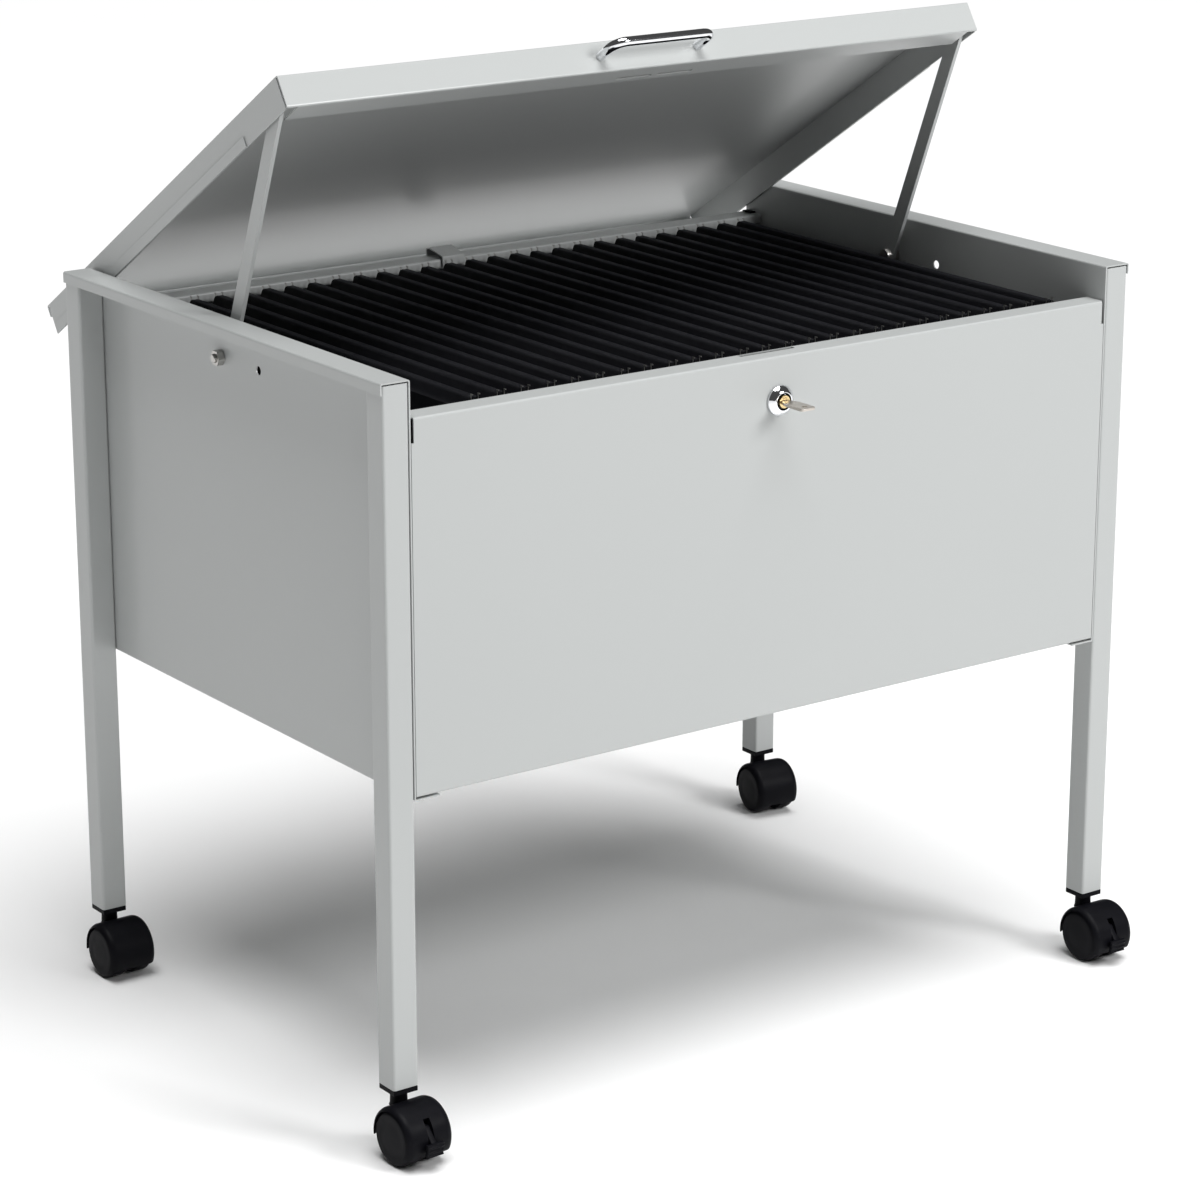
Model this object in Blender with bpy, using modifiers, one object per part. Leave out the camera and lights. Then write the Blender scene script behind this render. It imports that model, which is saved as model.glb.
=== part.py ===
"""Mobile suspension-file trolley: a sheet-steel case on four castered legs, with a lockable lid.

The lid rides on two stays. Each stay turns on a bolt in the side panel, slides on that bolt in a
short slot, and carries the lid on a stud near the lid's front corner. The lid's rear slides back
over the rear rail. The model stands on z = 0 with its front towards -Y, and the lid is open.
"""
import math

import bmesh
import bpy
from mathutils import Matrix, Vector

MM = 0.001

# Driving dimensions of the case and frame
CASE_WIDTH = 650 * MM
CASE_DEPTH = 430 * MM
TUBE = 20 * MM
TUBE_WALL = 1.5 * MM
SHEET = 1 * MM
GAP = 0.3 * MM
LEG_BOTTOM = 51 * MM
LEG_TOP = 542 * MM
RIM_TOP = 544 * MM
RIM_LIP = 8 * MM
PANEL_BOTTOM = 256.7 * MM
RAIL_TOP = 518.2 * MM
FLANGE = 20 * MM
RAIL_LIP = 7 * MM
BEND = 1 * MM

# Lid, in its own frame: s runs back from the front wall, n runs up to the top sheet
LID_HALF_WIDTH = 301.8 * MM
LID_LENGTH = 408 * MM
LID_HEIGHT = 23.5 * MM
LID_REAR_FOLD = 9 * MM
LID_CORNER_GAP = 2.8 * MM
LID_RETURN_HALF = 293 * MM
LID_RETURN_DEPTH = 22 * MM
LID_STUD = Vector((0, 12 * MM, -12 * MM))
LID_SLOTS = (("latch_slot", -23.5 * MM, 7 * MM), ("spare_slot", 12.5 * MM, 43 * MM))
LID_SLOT_HALF_WIDTH = 1.8 * MM
LID_CLOSED_FRONT = Vector((0, -214.5 * MM, RIM_TOP))
LID_OPEN_FRONT = Vector((0, -54.8 * MM, 719.7 * MM))
LID_OPEN_ANGLE = math.radians(32.3)
STRIP_START = 64 * MM
STRIP_HEIGHT = 8 * MM
STRIP_THICKNESS = 0.8 * MM
HANDLE_HALF = 42.5 * MM
HANDLE_REACH = 26 * MM
HANDLE_ROD = 3.5 * MM
HANDLE_CORNER = 9 * MM

# Stays and their bolts
BOLT_Y = 25 * MM
BOLT_Z = 513.2 * MM
STAY_HALF_WIDTH = 6 * MM
STAY_THICKNESS = 3 * MM
STAY_MIDDLE_X = 298 * MM
PIN_RADIUS = 3 * MM

# Lock
LOCK_Z = 486.7 * MM
LOCK_BORE = 8.1 * MM
PLUG_RADIUS = 4.5 * MM
CAM_LENGTH = 37 * MM
CAM_HALF_WIDTH = 6 * MM
CAM_THICKNESS = 1.5 * MM
CAM_Y = -199.2 * MM

# Casters
WHEEL_RADIUS = 20 * MM
TRAIL = 15.5 * MM
HOOD_RADIUS = 22.4 * MM
WELL_RADIUS = 21 * MM
HOOD_HALF_WIDTH = 18.7 * MM
WEB_HALF_WIDTH = 4 * MM
HOOD_FRONT_ANGLE = -26
HOOD_REAR_ANGLE = 188
COLLAR_RADIUS = 6 * MM
COLLAR_TOP = 46.4 * MM
PLUG_BOTTOM = 46.8 * MM
BRAKE_PIVOT = (16.5 * MM, 26)
BRAKE_BOSS = 3.6 * MM
PEDAL_INNER = 24.6 * MM
PEDAL_OUTER = 28 * MM
PEDAL_TOP_ANGLE = 3
PEDAL_LOW_ANGLE = -18
PEDAL_WIDTH = 13.5 * MM
BRAKE_SLOT_TOP = 16 * MM
BRAKE_SLOT_HALF_WIDTH = 2.6 * MM
BRAKE_ARM_WIDTH = 4.4 * MM
CASTERS = {
    "front_left": (-1, -1, 3.0),
    "front_right": (1, -1, -1.5),
    "back_left": (-1, 1, 0.5),
    "back_right": (1, 1, -7.5),
}

# Hanging files, as one plain block
FILES_LEFT = -243 * MM
FILES_RIGHT = 287 * MM
FILES_HALF_DEPTH = 186 * MM
FILES_BOTTOM = 279.7 * MM
FILES_TOP = 517.7 * MM
FILES_VALLEY = 513.7 * MM
FILES_COUNT = 26

PANEL_X = CASE_WIDTH / 2 - TUBE - GAP - SHEET / 2
FRONT_Y = -CASE_DEPTH / 2

# Which way each drawing plane's first, second and extrusion axes point
PLANES = {
    "XY": Matrix(((1, 0, 0), (0, 1, 0), (0, 0, 1))),
    "XZ": Matrix(((1, 0, 0), (0, 0, -1), (0, 1, 0))),
    "YZ": Matrix(((0, 0, 1), (1, 0, 0), (0, 1, 0))),
}


def clear_scene():
    for obj in list(bpy.data.objects):
        bpy.data.objects.remove(obj)


def new_collection(name):
    collection = bpy.data.collections.new(name)
    bpy.context.scene.collection.children.link(collection)
    return collection


def make_material(name, colour, roughness, metallic=0.0):
    material = bpy.data.materials.new(name)
    material.use_nodes = True
    shader = material.node_tree.nodes["Principled BSDF"]
    shader.inputs["Base Color"].default_value = (*colour, 1)
    shader.inputs["Roughness"].default_value = roughness
    shader.inputs["Metallic"].default_value = metallic
    return material


clear_scene()
PARTS = new_collection("file_trolley")
CUTTERS = new_collection("cutters")
PAINT = make_material("light_grey_paint", (0.60, 0.62, 0.60), 0.35)
BLACK = make_material("black_plastic", (0.02, 0.02, 0.022), 0.45)
STEEL = make_material("zinc_steel", (0.62, 0.62, 0.60), 0.35, 1.0)
CHROME = make_material("chrome", (0.80, 0.80, 0.82), 0.10, 1.0)
BRASS = make_material("brass", (0.72, 0.56, 0.30), 0.30, 1.0)
CARD = make_material("black_card", (0.02, 0.02, 0.025), 0.60)

ROOT = bpy.data.objects.new("trolley_frame", None)
PARTS.objects.link(ROOT)


# ---------------------------------------------------------------- shape helpers


def arc(centre, radius, start, end, steps):
    """Points on an arc, from start to end in degrees."""
    angles = [math.radians(start + (end - start) * i / steps) for i in range(steps + 1)]
    return [(centre[0] + radius * math.cos(a), centre[1] + radius * math.sin(a)) for a in angles]


def rounded_path(points, radius, steps=3):
    """The same path with an arc at each inner corner."""
    path = [Vector(points[0])]
    for before, corner, after in zip(points, points[1:], points[2:]):
        corner = Vector(corner)
        arriving = (corner - Vector(before)).normalized()
        leaving = (Vector(after) - corner).normalized()
        half_turn = arriving.angle(leaving) / 2
        reach = radius * math.tan(half_turn)
        start = corner - arriving * reach
        middle = start + (leaving - arriving * math.cos(2 * half_turn)).normalized() * radius
        for i in range(steps + 1):
            turn = 2 * half_turn * i / steps
            outward = (start - middle).normalized()
            path.append(middle + (outward * math.cos(turn) + arriving * math.sin(turn)) * radius)
    path.append(Vector(points[-1]))
    return path


def strip_outline(path, thickness):
    """The closed outline of a sheet whose middle line is the path."""
    left = []
    right = []
    for i, point in enumerate(path):
        before = (point - path[i - 1]).normalized() if i else None
        after = (path[i + 1] - point).normalized() if i + 1 < len(path) else None
        along = ((before or after) + (after or before)).normalized()
        stretch = 1 / along.dot(before or after)
        side = Vector((-along.y, along.x)) * thickness / 2 * stretch
        left.append(point + side)
        right.append(point - side)
    return [tuple(p) for p in left + right[::-1]]


def rounded_rectangle(half_x, half_y, radius, steps=3):
    outline = []
    for sign_x, sign_y, start in ((1, 1, 0), (-1, 1, 90), (-1, -1, 180), (1, -1, 270)):
        centre = (sign_x * (half_x - radius), sign_y * (half_y - radius))
        outline += arc(centre, radius, start, start + 90, steps)
    return outline


def adopt(obj, parent, location=(0, 0, 0), rotation=(0, 0, 0)):
    obj.parent = parent
    obj.location = location
    obj.rotation_euler = rotation
    return obj


def mesh_object(name, mesh, material, sharp_angle=20):
    obj = bpy.data.objects.new(name, mesh)
    PARTS.objects.link(obj)
    mesh.materials.clear()
    mesh.materials.append(material)
    mesh.shade_smooth()
    mesh.set_sharp_from_angle(angle=math.radians(sharp_angle))
    return obj


def curve_to_mesh(curve_object):
    """A closed mesh from a curve, with its caps welded on; the curve is removed."""
    bpy.context.view_layer.update()
    evaluated = curve_object.evaluated_get(bpy.context.evaluated_depsgraph_get())
    mesh = bpy.data.meshes.new_from_object(evaluated)
    bm = bmesh.new()
    bm.from_mesh(mesh)
    bmesh.ops.remove_doubles(bm, verts=bm.verts, dist=0.01 * MM)
    bmesh.ops.recalc_face_normals(bm, faces=bm.faces)
    bm.to_mesh(mesh)
    bm.free()
    bpy.data.objects.remove(curve_object)
    return mesh


def flat_piece(name, outlines, thickness, plane, material):
    """A flat outline, with any holes as further outlines, drawn in a plane and extruded evenly."""
    curve = bpy.data.curves.new(name, "CURVE")
    curve.dimensions = "2D"
    curve.fill_mode = "BOTH"
    curve.extrude = thickness / 2
    for outline in outlines:
        spline = curve.splines.new("POLY")
        spline.points.add(len(outline) - 1)
        spline.use_cyclic_u = True
        for point, (u, v) in zip(spline.points, outline):
            point.co = (u, v, 0, 1)
    holder = bpy.data.objects.new(name + "_outline", curve)
    PARTS.objects.link(holder)
    mesh = curve_to_mesh(holder)
    mesh.transform(PLANES[plane].to_4x4())
    return mesh_object(name, mesh, material)


def box(name, low, high, material, bevel=0.0):
    """A box between two corners."""
    low, high = Vector(low), Vector(high)
    mesh = bpy.data.meshes.new(name)
    bm = bmesh.new()
    bmesh.ops.create_cube(bm, size=1)
    bmesh.ops.scale(bm, vec=high - low, verts=bm.verts)
    bmesh.ops.translate(bm, vec=(low + high) / 2, verts=bm.verts)
    bm.to_mesh(mesh)
    bm.free()
    obj = mesh_object(name, mesh, material)
    if bevel:
        add_bevel(obj, bevel)
    return obj


def cylinder(name, radius, low, high, material, segments=24):
    """A cylinder on the local Z axis."""
    mesh = bpy.data.meshes.new(name)
    bm = bmesh.new()
    bmesh.ops.create_cone(
        bm, cap_ends=True, segments=segments, radius1=radius, radius2=radius, depth=high - low
    )
    bmesh.ops.translate(bm, vec=(0, 0, (low + high) / 2), verts=bm.verts)
    bm.to_mesh(mesh)
    bm.free()
    return mesh_object(name, mesh, material)


def turned(name, profile, material, steps=32):
    """A turned shape: the profile of (radius, height) runs down its outer side."""
    mesh = bpy.data.meshes.new(name)
    mesh.from_pydata([(r, 0, z) for r, z in profile], [(i, i + 1) for i in range(len(profile) - 1)], [])
    obj = mesh_object(name, mesh, material)
    screw = obj.modifiers.new("turn", "SCREW")
    screw.steps = steps
    screw.render_steps = steps
    screw.use_merge_vertices = True
    screw.merge_threshold = 0.01 * MM
    return obj


def add_bevel(obj, width, segments=2):
    bevel = obj.modifiers.new("bevel", "BEVEL")
    bevel.width = width
    bevel.segments = segments
    bevel.limit_method = "ANGLE"
    bevel.angle_limit = math.radians(40)
    return bevel


def combine(obj, tool, operation):
    """Cuts obj by the tool, or joins the tool to it; the tool becomes a hidden guide beside obj."""
    PARTS.objects.unlink(tool)
    CUTTERS.objects.link(tool)
    tool.parent = obj
    tool.hide_render = True
    tool.display_type = "WIRE"
    boolean = obj.modifiers.new(tool.name, "BOOLEAN")
    boolean.operation = operation
    boolean.solver = "EXACT"
    boolean.object = tool


def cut(obj, tool):
    combine(obj, tool, "DIFFERENCE")


def join(obj, tool):
    combine(obj, tool, "UNION")


def along_x(side):
    """The rotation that turns the local Z axis outwards, to the left (-1) or right (1) side."""
    return (0, side * math.pi / 2, 0)


# ---------------------------------------------------------------- frame and case


def build_leg(name, side, end):
    outer = rounded_rectangle(TUBE / 2, TUBE / 2, 1.8 * MM)
    inner = rounded_rectangle(TUBE / 2 - TUBE_WALL, TUBE / 2 - TUBE_WALL, 0.6 * MM)
    leg = flat_piece("leg_" + name, [outer, inner], LEG_TOP - LEG_BOTTOM, "XY", PAINT)
    x = side * (CASE_WIDTH - TUBE) / 2
    y = end * (CASE_DEPTH - TUBE) / 2
    adopt(leg, ROOT, (x, y, (LEG_TOP + LEG_BOTTOM) / 2))


def build_side_panel(name, side):
    """A sheet inside the legs, folded out over their tops and down, and in at the bottom."""
    lip_x = CASE_WIDTH / 2 + GAP + SHEET / 2
    path = [
        (PANEL_X - FLANGE, PANEL_BOTTOM - SHEET / 2),
        (PANEL_X, PANEL_BOTTOM - SHEET / 2),
        (PANEL_X, RIM_TOP - SHEET / 2),
        (lip_x, RIM_TOP - SHEET / 2),
        (lip_x, RIM_TOP - RIM_LIP),
    ]
    outline = strip_outline(rounded_path(path, BEND), SHEET)
    outline = [(side * x, z) for x, z in outline]
    panel = flat_piece("side_panel_" + name, [outline], CASE_DEPTH, "XZ", PAINT)
    adopt(panel, ROOT)
    for end in (-1, 1):
        hole = cylinder(f"bolt_hole_{name}_{end}", PIN_RADIUS + GAP, 300 * MM, 310 * MM, PAINT)
        cut(panel, adopt(hole, panel, (0, end * BOLT_Y, BOLT_Z), along_x(side)))


def build_end_panel(name, end):
    """The front or rear sheet, with a rail flange and lip at the top and a flange below."""
    face_y = CASE_DEPTH / 2 - SHEET / 2
    inner_y = CASE_DEPTH / 2 - FLANGE + SHEET / 2
    bottom = PANEL_BOTTOM + 1.8 * MM
    path = [
        (end * inner_y, bottom),
        (end * face_y, bottom),
        (end * face_y, RAIL_TOP - SHEET / 2),
        (end * inner_y, RAIL_TOP - SHEET / 2),
        (end * inner_y, RAIL_TOP - RAIL_LIP),
    ]
    half_width = PANEL_X - SHEET / 2 - 0.5 * MM
    outline = strip_outline(rounded_path(path, BEND), SHEET)
    panel = flat_piece(name, [outline], 2 * half_width, "YZ", PAINT)
    adopt(panel, ROOT)
    notch_depth = 2 * MM
    notch_height = 17 * MM
    for side in (-1, 1):
        inner_x = side * (half_width - notch_depth)
        outer_x = side * (half_width + notch_depth)
        low = (min(inner_x, outer_x), end * face_y - 2 * MM, RAIL_TOP - notch_height)
        high = (max(inner_x, outer_x), end * face_y + 2 * MM, RAIL_TOP + 1 * MM)
        cut(panel, adopt(box(f"notch_{name}_{side}", low, high, PAINT), panel))
    return panel


def build_front_panel():
    panel = build_end_panel("front_panel", -1)
    hole = cylinder("lock_hole", LOCK_BORE, -6 * MM, 6 * MM, PAINT, 32)
    cut(panel, adopt(hole, panel, (0, FRONT_Y, LOCK_Z), (math.pi / 2, 0, 0)))
    low = (-24 * MM, CAM_Y - 2.2 * MM, RAIL_TOP - 3 * MM)
    high = (24 * MM, CAM_Y + 2.2 * MM, RAIL_TOP + 1 * MM)
    cut(panel, adopt(box("cam_slot", low, high, PAINT), panel))


def build_bottom_panel():
    half_x = PANEL_X - 1.5 * MM
    half_y = CASE_DEPTH / 2 - 2 * SHEET
    bottom = PANEL_BOTTOM + 2.8 * MM
    panel = box("bottom_panel", (-half_x, -half_y, bottom), (half_x, half_y, bottom + SHEET), PAINT)
    adopt(panel, ROOT)


def build_rear_clip():
    """A bent sheet hook on the rear rail at mid width."""
    inner_y = CASE_DEPTH / 2 - FLANGE
    path = [
        (inner_y - 1.5 * MM, RAIL_TOP - 5 * MM),
        (inner_y - 1.5 * MM, RAIL_TOP + 2 * MM),
        (CASE_DEPTH / 2 - 3 * MM, RAIL_TOP + 6 * MM),
        (CASE_DEPTH / 2 + 1.5 * MM, RAIL_TOP + 5 * MM),
        (CASE_DEPTH / 2 + 1.5 * MM, RAIL_TOP - 8 * MM),
    ]
    outline = strip_outline(rounded_path(path, BEND), SHEET)
    adopt(flat_piece("rear_clip", [outline], 20 * MM, "YZ", PAINT), ROOT)


def build_glide(name, side):
    """A small plastic pad on the rear rail, under the lid's side wall."""
    low_x = min(side * 297 * MM, side * 302.5 * MM)
    high_x = max(side * 297 * MM, side * 302.5 * MM)
    low = (low_x, CASE_DEPTH / 2 - 14 * MM, RAIL_TOP + GAP)
    high = (high_x, CASE_DEPTH / 2 - 3 * MM, RAIL_TOP + 1.5 * MM)
    adopt(box("lid_glide_" + name, low, high, BLACK, 0.4 * MM), ROOT)


def build_files():
    """Hanging files as one block: a zigzag top over a plain body."""
    pitch = (FILES_RIGHT - FILES_LEFT) / FILES_COUNT
    outline = [(FILES_LEFT, FILES_BOTTOM), (FILES_RIGHT, FILES_BOTTOM)]
    outline.append((FILES_RIGHT, FILES_VALLEY))
    for i in reversed(range(FILES_COUNT)):
        outline.append((FILES_LEFT + (i + 0.5) * pitch, FILES_TOP))
        outline.append((FILES_LEFT + i * pitch, FILES_VALLEY))
    adopt(flat_piece("suspension_files", [outline], 2 * FILES_HALF_DEPTH, "XZ", CARD), ROOT)


# ---------------------------------------------------------------- lid and stays


def lid_rotation():
    return Matrix.Rotation(-LID_OPEN_ANGLE, 3, "X")


def open_stud():
    """The stud's place with the lid open."""
    return LID_OPEN_FRONT + lid_rotation() @ LID_STUD


def lid_point(x, s, n):
    """A point in the lid's frame, measured from the stud axis."""
    return Vector((x, s, n)) - LID_STUD


def build_lid():
    """A folded tray: a profile across the whole width, with side walls on its ends."""
    fold = SHEET / 2
    path = [
        (LID_RETURN_DEPTH, fold - LID_HEIGHT),
        (fold, fold - LID_HEIGHT),
        (fold, -fold),
        (LID_LENGTH - fold, -fold),
        (LID_LENGTH - fold, -LID_REAR_FOLD),
    ]
    outline = strip_outline(rounded_path(path, BEND), SHEET)
    lid = flat_piece("lid", [outline], 2 * LID_HALF_WIDTH, "YZ", PAINT)
    lid.data.transform(Matrix.Translation(lid_point(0, 0, 0)))
    adopt(lid, ROOT, open_stud(), (-LID_OPEN_ANGLE, 0, 0))
    for name, side in (("left", -1), ("right", 1)):
        ends = sorted((side * LID_RETURN_HALF, side * (LID_HALF_WIDTH + MM)))
        low = lid_point(ends[0], 1.3 * MM, -LID_HEIGHT - MM)
        high = lid_point(ends[1], LID_RETURN_DEPTH + MM, -LID_HEIGHT + 2.5 * MM)
        cut(lid, adopt(box("return_end_" + name, low, high, PAINT), lid))
        wall = sorted((side * (LID_HALF_WIDTH - SHEET), side * LID_HALF_WIDTH))
        low = lid_point(wall[0], LID_CORNER_GAP, -LID_HEIGHT)
        high = lid_point(wall[1], LID_LENGTH - LID_CORNER_GAP, -fold)
        join(lid, adopt(box("side_wall_" + name, low, high, PAINT), lid))
        build_lid_strip(lid, name, side)
        build_lid_stud(lid, name, side)
    slot_middle = CAM_Y - LID_CLOSED_FRONT.y
    for name, left, right in LID_SLOTS:
        low = lid_point(left, slot_middle - LID_SLOT_HALF_WIDTH, -LID_HEIGHT - 2 * MM)
        high = lid_point(right, slot_middle + LID_SLOT_HALF_WIDTH, -LID_HEIGHT + 3 * MM)
        cut(lid, adopt(box(name, low, high, PAINT), lid))
    build_handle(lid)


def build_lid_strip(lid, name, side):
    """The raised guide strip along the lower edge of a side wall."""
    inner_x = side * (LID_HALF_WIDTH + GAP)
    outer_x = side * (LID_HALF_WIDTH + GAP + STRIP_THICKNESS)
    low = lid_point(min(inner_x, outer_x), STRIP_START, -LID_HEIGHT)
    high = lid_point(max(inner_x, outer_x), LID_LENGTH - 2 * LID_CORNER_GAP, STRIP_HEIGHT - LID_HEIGHT)
    adopt(box("lid_strip_" + name, low, high, PAINT, 0.25 * MM), lid)


def build_lid_stud(lid, name, side):
    """The rivet that carries a stay: collar, shank through the stay, and head."""
    wall = LID_HALF_WIDTH - SHEET - GAP
    stay_outer = STAY_MIDDLE_X + STAY_THICKNESS / 2 + GAP
    stay_inner = STAY_MIDDLE_X - STAY_THICKNESS / 2 - GAP
    head = stay_inner - 1.5 * MM
    profile = [
        (0, wall),
        (5 * MM, wall),
        (5 * MM, stay_outer),
        (PIN_RADIUS, stay_outer),
        (PIN_RADIUS, stay_inner),
        (4.5 * MM, stay_inner),
        (4 * MM, head),
        (0, head),
    ]
    adopt(turned("lid_stud_" + name, profile, STEEL, 24), lid, (0, 0, 0), along_x(side))


def build_handle(lid):
    """A bent rod on the lid's front wall."""
    curve = bpy.data.curves.new("handle_path", "CURVE")
    curve.dimensions = "3D"
    curve.bevel_depth = HANDLE_ROD
    curve.bevel_resolution = 3
    curve.use_fill_caps = True
    foot = -GAP
    reach = -HANDLE_REACH + HANDLE_ROD
    corners = [(-HANDLE_HALF, foot), (-HANDLE_HALF, reach), (HANDLE_HALF, reach), (HANDLE_HALF, foot)]
    path = rounded_path(corners, HANDLE_CORNER, 6)
    spline = curve.splines.new("POLY")
    spline.points.add(len(path) - 1)
    for point, (x, s) in zip(spline.points, path):
        point.co = (*lid_point(x, s, -LID_HEIGHT / 2), 1)
    holder = bpy.data.objects.new("handle_path", curve)
    PARTS.objects.link(holder)
    adopt(mesh_object("lid_handle", curve_to_mesh(holder), CHROME), lid)


def stay_lengths():
    """Bolt-to-stud lengths and angles above the forward horizontal, open and closed."""
    bolt = Vector((0, BOLT_Y, BOLT_Z))
    opened = open_stud() - bolt
    closed = LID_CLOSED_FRONT + LID_STUD - bolt
    angles = [math.atan2(v.z, -v.y) for v in (opened, closed)]
    return opened.length, closed.length, angles[0], angles[1]


def build_stay(name, side):
    """The stay, and the bolt and nut that it turns with."""
    open_length, closed_length, open_angle, _ = stay_lengths()
    travel = closed_length - open_length
    tilt = (-open_angle, 0, 0)
    bolt_place = (0, BOLT_Y, BOLT_Z)
    hole = PIN_RADIUS + GAP
    outline = arc((travel, 0), STAY_HALF_WIDTH, -90, 90, 10)
    outline += arc((-open_length, 0), STAY_HALF_WIDTH, 90, 270, 10)
    stud_hole = arc((-open_length, 0), hole, 0, 345, 23)
    slot = arc((travel, 0), hole, -90, 90, 10) + arc((0, 0), hole, 90, 270, 10)
    stay = flat_piece("stay_" + name, [outline, stud_hole, slot], STAY_THICKNESS, "YZ", PAINT)
    stay.data.transform(Matrix.Translation((side * STAY_MIDDLE_X, 0, 0)))
    adopt(stay, ROOT, bolt_place, tilt)

    stay_outer = STAY_MIDDLE_X + STAY_THICKNESS / 2 + GAP
    stay_inner = STAY_MIDDLE_X - STAY_THICKNESS / 2 - GAP
    panel_inner = PANEL_X - SHEET / 2 - GAP
    shank_end = PANEL_X + 8 * MM
    head = stay_inner - 3.5 * MM
    profile = [
        (0, shank_end),
        (PIN_RADIUS - 0.5 * MM, shank_end),
        (PIN_RADIUS, shank_end - 0.5 * MM),
        (PIN_RADIUS, panel_inner),
        (6 * MM, panel_inner),
        (6 * MM, stay_outer),
        (PIN_RADIUS, stay_outer),
        (PIN_RADIUS, stay_inner),
        (6 * MM, stay_inner),
        (5 * MM, head),
        (0, head),
    ]
    bolt = turned("stay_bolt_" + name, profile, STEEL, 24)
    adopt(bolt, ROOT, bolt_place, along_x(side))

    hexagon = arc((0, 0), 5.8 * MM, 0, 300, 5)
    bore = arc((0, 0), PIN_RADIUS + GAP, 0, 345, 23)
    nut = flat_piece("stay_nut_" + name, [hexagon, bore], 5 * MM, "YZ", STEEL)
    nut.data.transform(Matrix.Translation((side * (PANEL_X + 3.5 * MM), 0, 0)))
    adopt(nut, ROOT, bolt_place)


# ---------------------------------------------------------------- lock


def build_lock():
    """Housing, nut, plug, cam and key, on one axis through the front panel."""
    towards_front = (math.pi / 2, 0, 0)
    place = (0, FRONT_Y, LOCK_Z)
    bore = PLUG_RADIUS + GAP
    barrel = LOCK_BORE - GAP
    housing_profile = [
        (bore, 5.3 * MM),
        (6.6 * MM, 5.3 * MM),
        (8.5 * MM, 4.3 * MM),
        (11 * MM, 1.6 * MM),
        (11 * MM, 0.3 * MM),
        (barrel, 0.3 * MM),
        (barrel, -14 * MM),
        (bore, -14 * MM),
        (bore, 5.3 * MM),
    ]
    housing = turned("lock_housing", housing_profile, CHROME, 32)
    adopt(housing, ROOT, place, towards_front)

    hexagon = arc((0, 0), 11.5 * MM, 0, 300, 5)
    opening = arc((0, 0), LOCK_BORE + 0.1 * MM, 0, 348.75, 31)
    nut = flat_piece("lock_nut", [hexagon, opening], 3.5 * MM, "XZ", STEEL)
    adopt(nut, ROOT, (0, FRONT_Y + 3.2 * MM, LOCK_Z))

    front_face = 6 * MM
    rear_face = FRONT_Y - (CAM_Y - CAM_THICKNESS / 2 - GAP)
    plug = cylinder("lock_plug", PLUG_RADIUS, rear_face, front_face, BRASS, 32)
    adopt(plug, ROOT, place, towards_front)
    keyway = box("keyway", (-3.3 * MM, -1.3 * MM, -11 * MM), (3.3 * MM, 1.3 * MM, 8 * MM), BRASS)
    cut(plug, adopt(keyway, plug))

    tip = arc((-CAM_LENGTH + CAM_HALF_WIDTH, 0), CAM_HALF_WIDTH, 90, 270, 10)
    hub = arc((0, 0), CAM_HALF_WIDTH, -90, 90, 10)
    cam = flat_piece("lock_cam", [tip + hub], CAM_THICKNESS, "XZ", STEEL)
    adopt(cam, ROOT, (0, CAM_Y, LOCK_Z))

    key_front = FRONT_Y - front_face
    blade = [(3 * MM, -1 * MM), (3 * MM, 15 * MM), (1 * MM, 16 * MM), (-3 * MM, 14 * MM), (-3 * MM, -1 * MM)]
    bow = arc((-1.3 * MM, -10 * MM), 5 * MM, 125, 180, 3)
    bow += arc((-3.8 * MM, -24.5 * MM), 2.5 * MM, 180, 270, 4)
    bow += arc((3.8 * MM, -24.5 * MM), 2.5 * MM, 270, 360, 4)
    bow += arc((1.3 * MM, -10 * MM), 5 * MM, 0, 55, 3)
    ring_hole = arc((0, -22 * MM), 2 * MM, 0, 330, 11)
    key = flat_piece("key", [blade + bow, ring_hole], 2 * MM, "XY", STEEL)
    adopt(key, ROOT, (0, key_front, LOCK_Z))


# ---------------------------------------------------------------- casters


def hood_point(radius, angle):
    """A point beside the axle: the angle is measured up from straight ahead."""
    a = math.radians(angle)
    return (-TRAIL - radius * math.cos(a), WHEEL_RADIUS + radius * math.sin(a))


def hood_arc(radius, start, end, steps):
    return [hood_point(radius, start + (end - start) * i / steps) for i in range(steps + 1)]


def build_hood(name, swivel, braked):
    """The caster body: a wide rounded hood, hollowed for both wheels, with a collar on top."""
    outline = hood_arc(HOOD_RADIUS, HOOD_FRONT_ANGLE, HOOD_REAR_ANGLE, 24)
    outline += hood_arc(7 * MM, HOOD_REAR_ANGLE, HOOD_FRONT_ANGLE + 360, 8)
    hood = flat_piece("caster_hood_" + name, [outline], 2 * HOOD_HALF_WIDTH, "YZ", BLACK)
    adopt(hood, swivel)
    join(hood, adopt(cylinder("collar_" + name, COLLAR_RADIUS, 27 * MM, COLLAR_TOP, BLACK), hood))
    axle_place = (0, -TRAIL, WHEEL_RADIUS)
    for side in (-1, 1):
        well = cylinder(f"well_{name}_{side}", WELL_RADIUS, WEB_HALF_WIDTH, 22 * MM, BLACK, 32)
        cut(hood, adopt(well, hood, axle_place, along_x(side)))
    axle_bore = cylinder("axle_bore_" + name, 2.3 * MM, -10 * MM, 10 * MM, BLACK, 16)
    cut(hood, adopt(axle_bore, hood, axle_place, along_x(1)))
    stem_bore = cylinder("stem_bore_" + name, 2.8 * MM, 28 * MM, COLLAR_TOP + 2 * MM, BLACK, 16)
    cut(hood, adopt(stem_bore, hood))
    if braked:
        half = BRAKE_SLOT_HALF_WIDTH
        low = (-half, -TRAIL - 30 * MM, -5 * MM)
        high = (half, -TRAIL - 9.5 * MM, WHEEL_RADIUS + BRAKE_SLOT_TOP)
        cut(hood, adopt(box("brake_slot_" + name, low, high, BLACK), hood))
        pin_bore = cylinder("brake_bore_" + name, 1.3 * MM, -5 * MM, 5 * MM, BLACK, 12)
        cut(hood, adopt(pin_bore, hood, (0, *hood_point(*BRAKE_PIVOT)), along_x(1)))
    return hood


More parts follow.
